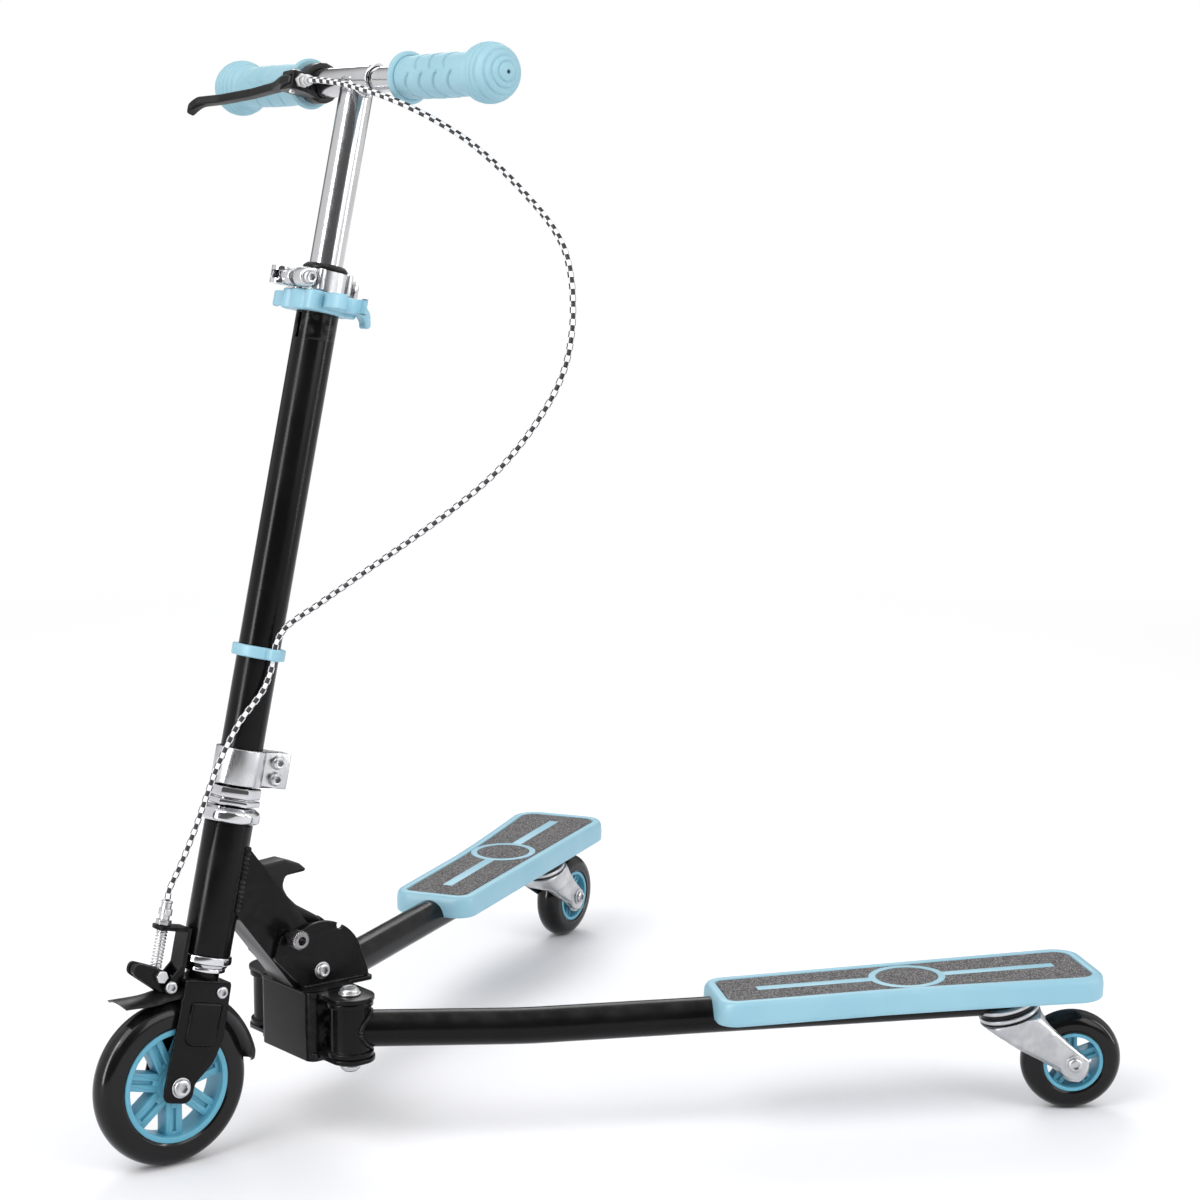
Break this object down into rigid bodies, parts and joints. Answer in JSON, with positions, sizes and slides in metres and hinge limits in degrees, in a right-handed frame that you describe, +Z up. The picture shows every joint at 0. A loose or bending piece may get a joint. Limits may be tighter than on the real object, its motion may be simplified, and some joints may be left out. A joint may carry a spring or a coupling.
{
  "type": "tricycle drifter scooter",
  "caption": "Tricycle drifting scooter with a folding raked column, height-set handlebar, hand brake and swinging rear arms with foot decks and swivel casters.",
  "frame": {"origin": "on the ground, at the middle of the whole scooter's box", "axes": "+Z up, -Y is the way it rides, +X is the rider's left"},
  "size_m": [0.7474, 0.7284, 0.8223],
  "materials": {
    "black_paint": "satin black powder coat",
    "chrome": "bright chrome plate",
    "polished_tube": "polished plated tube",
    "aluminium": "satin cast and turned",
    "zinc_steel": "zinc plate",
    "blue_plastic": "moulded, light blue",
    "blue_rubber": "soft, light blue",
    "black_plastic": "moulded, fine grain",
    "brake_rubber": "hard rubber",
    "tyre": "glossy polyurethane",
    "grip_tape": "grit on a thin backing",
    "braid": "black and white braid"
  },
  "bodies": {
    "rear_frame": {"hinge_block": "black_paint", "fold_plate_left": "black_paint", "fold_plate_right": "black_paint", "fold_pivot_bolt": "zinc_steel", "arm_hinge_bolt_left": "zinc_steel", "arm_hinge_bolt_right": "zinc_steel"},
    "front_frame": {"head_tube": "black_paint", "fold_channel": "black_paint", "headset_lower_cup": "chrome", "headset_upper_cup": "chrome"},
    "fold_latch": {"release_hook": "black_plastic", "lock_pin": "zinc_steel"},
    "steering": {"fork": "black_paint", "front_axle": "zinc_steel", "mudguard": "black_plastic", "headset_nut": "chrome", "clamp_collar": "aluminium", "clamp_bolt_upper": "zinc_steel", "clamp_bolt_lower": "zinc_steel", "lower_tube": "black_paint", "cable_clip": "blue_plastic", "handle_holder": "blue_plastic", "quick_release_collar": "aluminium", "quick_release_bolt": "zinc_steel", "tube_bush": "black_plastic", "brake_bracket": "black_paint", "brake_spring": "zinc_steel", "cable_adjuster": "zinc_steel", "brake_cable": "braid"},
    "brake_arm": {"brake_arm": "black_paint", "brake_pad": "brake_rubber", "cable_anchor_bolt": "zinc_steel"},
    "front_wheel": {"front_tyre": "tyre", "front_hub": "blue_plastic"},
    "quick_release": {"quick_release_lever": "chrome"},
    "upper_bar": {"upper_bar": "polished_tube", "lever_clamp": "black_plastic", "lever_adjuster": "zinc_steel"},
    "left_handle": {"left_handle_tube": "polished_tube", "left_grip": "blue_rubber"},
    "right_handle": {"right_handle_tube": "polished_tube", "right_grip": "blue_rubber"},
    "brake_lever": {"brake_lever": "black_plastic"},
    "left_arm": {"left_arm": "black_paint", "left_deck": "blue_plastic", "left_grip_tape": "grip_tape", "left_caster_race": "black_paint"},
    "right_arm": {"right_arm": "black_paint", "right_deck": "blue_plastic", "right_grip_tape": "grip_tape", "right_caster_race": "black_paint"},
    "left_caster": {"left_caster_fork": "zinc_steel", "left_caster_axle": "zinc_steel"},
    "right_caster": {"right_caster_fork": "zinc_steel", "right_caster_axle": "zinc_steel"},
    "left_caster_wheel": {"left_caster_tyre": "tyre", "left_caster_hub": "blue_plastic"},
    "right_caster_wheel": {"right_caster_tyre": "tyre", "right_caster_hub": "blue_plastic"}
  },
  "joints": [
    {"name": "fold", "type": "hinge", "parent": "rear_frame", "child": "front_frame", "pos_m": [0, -0.17824, 0.13104], "axis": [1, 0, 0], "range_deg": [-70, 0]},
    {"name": "fold_latch", "type": "slide", "parent": "front_frame", "child": "fold_latch", "axis": [0, -0.6665, 0.7455], "range_m": [-0.0045, 0.001]},
    {"name": "steering_turn", "type": "hinge", "parent": "front_frame", "child": "steering", "pos_m": [0, -0.30364, 0.00004], "axis": [0, 0.2215, 0.9751], "range_deg": [-45, 45]},
    {"name": "front_wheel_spin", "type": "hinge", "parent": "steering", "child": "front_wheel", "pos_m": [0, -0.30175, 0.06254], "axis": [1, 0, 0], "continuous": true},
    {"name": "brake_lever_pull", "type": "hinge", "parent": "upper_bar", "child": "brake_lever", "pos_m": [-0.043, -0.15121, 0.8019], "axis": [0, -0.2215, -0.9751], "range_deg": [0, 12], "stiffness_Nm_per_rad": 1, "springref_deg": -8.59},
    {"name": "brake_arm_turn", "type": "hinge", "parent": "steering", "child": "brake_arm", "pos_m": [0, -0.30407, 0.13807], "axis": [-1, 0, 0], "range_deg": [0, 7], "deforming": ["brake_spring"]},
    {"name": "quick_release_open", "type": "hinge", "parent": "steering", "child": "quick_release", "pos_m": [-0.02, -0.17984, 0.65781], "axis": [0, 0.2215, 0.9751], "range_deg": [0, 80]},
    {"name": "bar_height", "type": "slide", "parent": "steering", "child": "upper_bar", "axis": [0, 0.2215, 0.9751], "range_m": [-0.11, 0], "deforming": ["brake_cable"]},
    {"name": "left_handle_out", "type": "slide", "parent": "upper_bar", "child": "left_handle", "axis": [1, 0, 0], "range_m": [0, 0.045]},
    {"name": "right_handle_out", "type": "slide", "parent": "upper_bar", "child": "right_handle", "axis": [-1, 0, 0], "range_m": [0, 0.045]},
    {"name": "left_arm_swing", "type": "hinge", "parent": "rear_frame", "child": "left_arm", "pos_m": [0.0542, -0.17624, 0.09404], "axis": [0, 0, 1], "range_deg": [-10, 25]},
    {"name": "right_arm_swing", "type": "hinge", "parent": "rear_frame", "child": "right_arm", "pos_m": [-0.0542, -0.17624, 0.09404], "axis": [0, 0, 1], "range_deg": [-25, 10]},
    {"name": "left_caster_swivel", "type": "hinge", "parent": "left_arm", "child": "left_caster", "pos_m": [0.30504, 0.28097, 0.07684], "axis": [-0.1326, -0.2417, 0.9613], "continuous": true},
    {"name": "right_caster_swivel", "type": "hinge", "parent": "right_arm", "child": "right_caster", "pos_m": [-0.30504, 0.28097, 0.07684], "axis": [0.1326, -0.2417, 0.9613], "continuous": true},
    {"name": "left_caster_spin", "type": "hinge", "parent": "left_caster", "child": "left_caster_wheel", "pos_m": [0.33248, 0.32205, 0.03998], "axis": [0.8178, -0.5747, -0.0317], "continuous": true},
    {"name": "right_caster_spin", "type": "hinge", "parent": "right_caster", "child": "right_caster_wheel", "pos_m": [-0.32494, 0.32619, 0.03998], "axis": [0.9241, 0.3809, -0.0317], "continuous": true}
  ],
  "couplings": [
    {"joint": "brake_arm_turn", "follows": "brake_lever_pull", "ratio": 0.58333}
  ]
}
